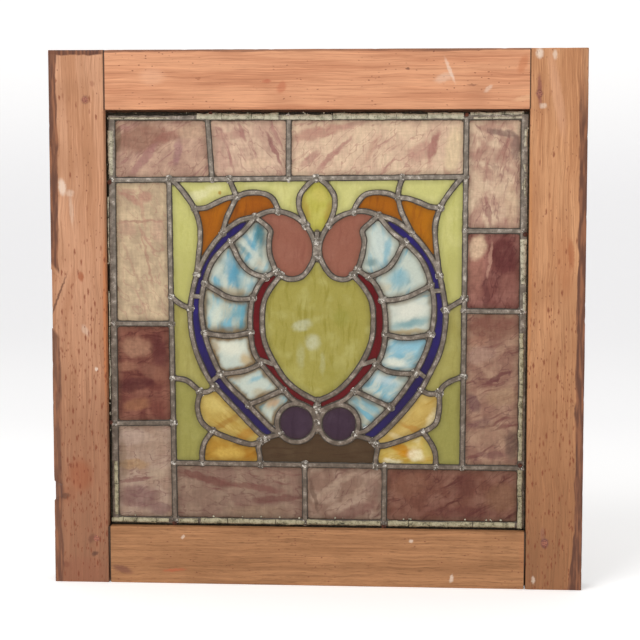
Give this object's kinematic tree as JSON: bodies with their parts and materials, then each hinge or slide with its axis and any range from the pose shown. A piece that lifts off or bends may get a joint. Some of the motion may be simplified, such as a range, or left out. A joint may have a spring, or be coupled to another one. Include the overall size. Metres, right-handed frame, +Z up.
{
  "type": "stained glass window",
  "caption": "Nearly square leaded window of coloured glass in its own wooden sash: a shield, scales and scrolls inside a mottled border.",
  "frame": {"origin": "centre of the sash's underside", "axes": "+X to the viewer's right across the glazed front, +Y from the front to the back, +Z up"},
  "size_m": [0.542, 0.035, 0.546],
  "materials": {
    "pine": "old reddish pine, darkened varnish at the outer edges",
    "lead": "old lead came, dull grey with dark cement in its edges",
    "putty": "dry cracked linseed putty",
    "border": "mottled purple, rose and cream streaky glass",
    "green": "yellow green cathedral glass, brighter at the top",
    "orange": "amber orange glass",
    "cobalt": "deep cobalt glass",
    "ruby": "dark ruby glass",
    "terracotta": "terracotta streaky glass",
    "opal": "white and sky blue opalescent glass",
    "purple": "dark purple glass",
    "yellow": "amber yellow streaky glass",
    "brown": "dark brown streaky glass"
  },
  "bodies": {
    "root": {"stile_left": "pine", "stile_right": "pine", "rail_top": "pine", "rail_bottom": "pine", "lead_cames": "lead", "putty_top": "putty", "putty_lower": "putty", "border_top_left": "border", "border_top_middle": "border", "border_top_right": "border", "border_right_upper": "border", "border_right_middle": "border", "border_right_lower": "border", "border_bottom_left": "border", "border_bottom_middle": "border", "border_bottom_right": "border", "border_left_upper": "border", "border_left_middle": "border", "border_left_lower": "border", "teardrop": "green", "shield": "green", "foot": "brown", "green_crown_left": "green", "green_crown_right": "green", "green_corner_left": "green", "green_corner_right": "green", "green_crescent_left": "green", "green_crescent_right": "green", "green_flank_left": "green", "green_flank_right": "green", "green_foot_left": "green", "green_foot_right": "green", "orange_outer_left": "orange", "orange_outer_right": "orange", "orange_inner_left": "orange", "orange_inner_right": "orange", "cobalt_rim_left": "cobalt", "cobalt_rim_right": "cobalt", "ruby_band_left": "ruby", "ruby_band_right": "ruby", "comma_left": "terracotta", "comma_right": "terracotta", "scale_1_left": "opal", "scale_1_right": "opal", "scale_2_left": "opal", "scale_2_right": "opal", "scale_3_left": "opal", "scale_3_right": "opal", "scale_4_left": "opal", "scale_4_right": "opal", "scale_5_left": "opal", "scale_5_right": "opal", "scale_6_left": "opal", "scale_6_right": "opal", "roundel_left": "purple", "roundel_right": "purple", "leaf_upper_left": "yellow", "leaf_upper_right": "yellow", "leaf_lower_left": "yellow", "leaf_lower_right": "yellow"}
  },
  "joints": []
}
